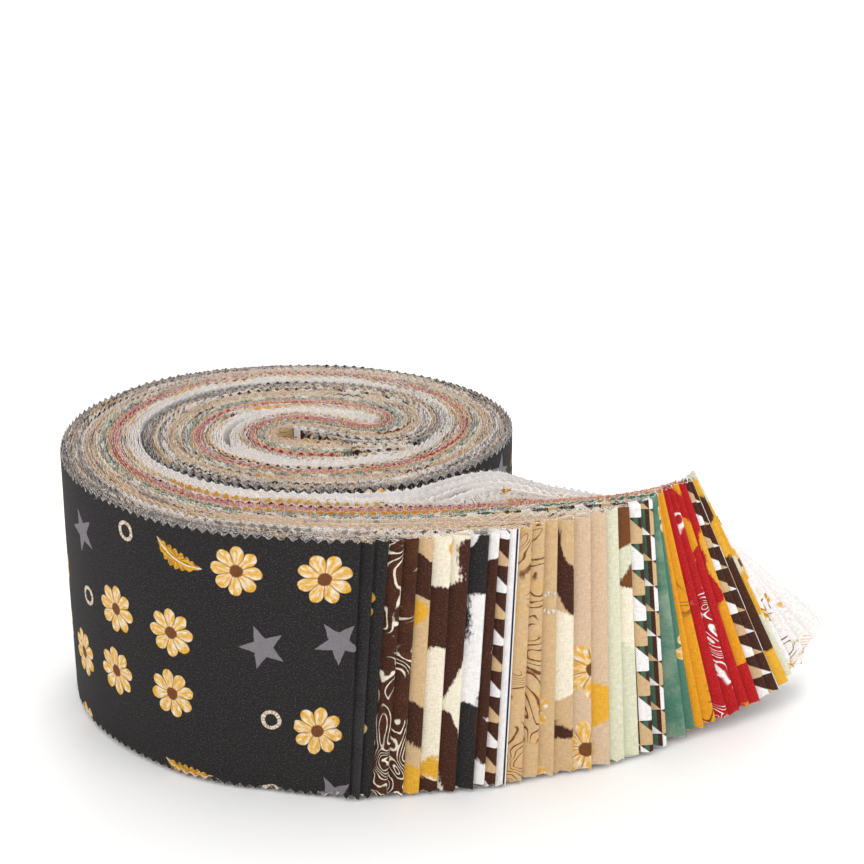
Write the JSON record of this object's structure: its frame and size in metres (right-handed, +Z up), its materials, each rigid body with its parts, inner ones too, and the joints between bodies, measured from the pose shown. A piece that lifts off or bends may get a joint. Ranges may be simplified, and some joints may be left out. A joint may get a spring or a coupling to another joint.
{
  "type": "roll of quilting fabric strips",
  "caption": "Roll of precut printed cotton strips folded in half and wound up together on their pinked edges, with the loose folded ends stepping back and fanning out in front.",
  "frame": {"origin": "middle of the footprint of the roll and its loose ends, on the surface that it stands on", "axes": "+Z up along the width of the strips, +X from the roll towards the loose ends of the tail, +Y from the front, where the tail lies, to the back"},
  "size_m": [0.1932, 0.1176, 0.0652],
  "materials": {
    "wound_cotton": "printed quilting cotton, dark brown, black and tan strips, matt",
    "teal_cotton": "printed quilting cotton, teal, matt",
    "orange_cotton": "printed quilting cotton, orange, matt",
    "red_cotton": "printed quilting cotton, red, matt",
    "yellow_cotton": "printed quilting cotton, red, orange and yellow, matt",
    "cream_cotton": "pieced triangles print on quilting cotton, cream, matt",
    "brown_cotton": "printed quilting cotton, brown and white, matt",
    "white_cotton": "printed quilting cotton, white, matt"
  },
  "bodies": {
    "root": {"wound_strips": "wound_cotton", "loose_end_01": "teal_cotton", "loose_end_02": "orange_cotton", "loose_end_03": "red_cotton", "loose_end_04": "yellow_cotton", "loose_end_05": "cream_cotton", "loose_end_06": "brown_cotton", "loose_end_07": "white_cotton", "loose_end_08": "white_cotton", "loose_end_09": "white_cotton"}
  },
  "joints": []
}
